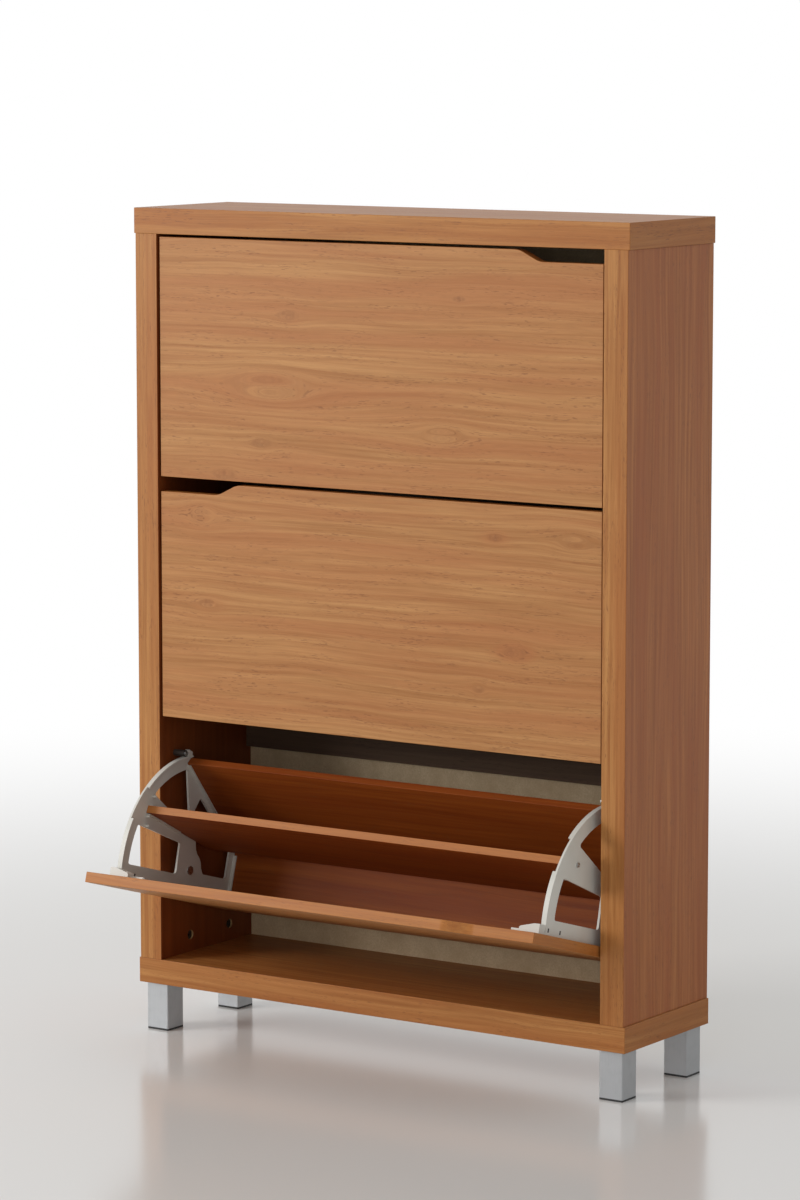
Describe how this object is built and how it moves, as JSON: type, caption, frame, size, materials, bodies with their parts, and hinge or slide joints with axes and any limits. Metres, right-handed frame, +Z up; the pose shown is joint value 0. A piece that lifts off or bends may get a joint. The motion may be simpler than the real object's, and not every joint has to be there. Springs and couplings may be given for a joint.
{
  "type": "shoe cabinet",
  "caption": "Slim upright shoe cabinet with tip-out drawers on quarter-round plastic brackets, the lowest open, on square metal feet.",
  "frame": {"origin": "on the floor, under the middle of the box that holds the whole cabinet with its lowest drawer open", "axes": "+X to the right seen from the front, +Y to the back, +Z up"},
  "size_m": [0.884, 0.4362, 1.28],
  "materials": {
    "laminate": "satin wood-grain laminate on board",
    "drawer_laminate": "satin wood-grain laminate, a little darker",
    "hardboard": "matt beige woven-look face",
    "bracket_plastic": "pale grey moulded plastic",
    "satin_aluminium": "satin",
    "pad_plastic": "black moulded plastic",
    "dark_plastic": "dark moulded plastic",
    "steel": "zinc plated",
    "zinc": "die cast",
    "dowel_wood": "plain beech"
  },
  "bodies": {
    "carcass": {"back_nails": "steel", "back_panel": "hardboard", "bottom_board": "laminate", "cam_bolts": "steel", "cam_locks": "zinc", "dowels": "dowel_wood", "foot_screws": "steel", "front_left_foot": "satin_aluminium", "front_left_foot_pad": "pad_plastic", "front_right_foot": "satin_aluminium", "front_right_foot_pad": "pad_plastic", "left_side": "laminate", "lower_rear_rail": "drawer_laminate", "pivot_bushes": "bracket_plastic", "rail_dowels": "dowel_wood", "rear_left_foot": "satin_aluminium", "rear_left_foot_pad": "pad_plastic", "rear_right_foot": "satin_aluminium", "rear_right_foot_pad": "pad_plastic", "right_side": "laminate", "stop_screws": "steel", "stop_sleeves": "dark_plastic", "top_board": "laminate", "upper_rear_rail": "drawer_laminate"},
    "upper_drawer": {"upper_front": "laminate", "upper_left_bracket": "bracket_plastic", "upper_right_bracket": "bracket_plastic", "upper_divider": "drawer_laminate", "upper_rear_board": "drawer_laminate", "upper_bottom_board": "drawer_laminate", "upper_pivot_pins": "steel", "upper_board_screws": "steel", "upper_front_screws": "steel"},
    "middle_drawer": {"middle_front": "laminate", "middle_left_bracket": "bracket_plastic", "middle_right_bracket": "bracket_plastic", "middle_divider": "drawer_laminate", "middle_rear_board": "drawer_laminate", "middle_bottom_board": "drawer_laminate", "middle_pivot_pins": "steel", "middle_board_screws": "steel", "middle_front_screws": "steel"},
    "lower_drawer": {"lower_front": "laminate", "lower_left_bracket": "bracket_plastic", "lower_right_bracket": "bracket_plastic", "lower_divider": "drawer_laminate", "lower_rear_board": "drawer_laminate", "lower_bottom_board": "drawer_laminate", "lower_pivot_pins": "steel", "lower_board_screws": "steel", "lower_front_screws": "steel"}
  },
  "joints": [
    {"name": "upper_drawer_pivot", "type": "hinge", "parent": "carcass", "child": "upper_drawer", "pos_m": [0, 0.02824, 0.994], "axis": [1, 0, 0], "range_deg": [0, 74]},
    {"name": "middle_drawer_pivot", "type": "hinge", "parent": "carcass", "child": "middle_drawer", "pos_m": [0, 0.02824, 0.6215], "axis": [1, 0, 0], "range_deg": [0, 74]},
    {"name": "lower_drawer_pivot", "type": "hinge", "parent": "carcass", "child": "lower_drawer", "pos_m": [0, 0.02824, 0.249], "axis": [1, 0, 0], "range_deg": [-74, 0]}
  ]
}
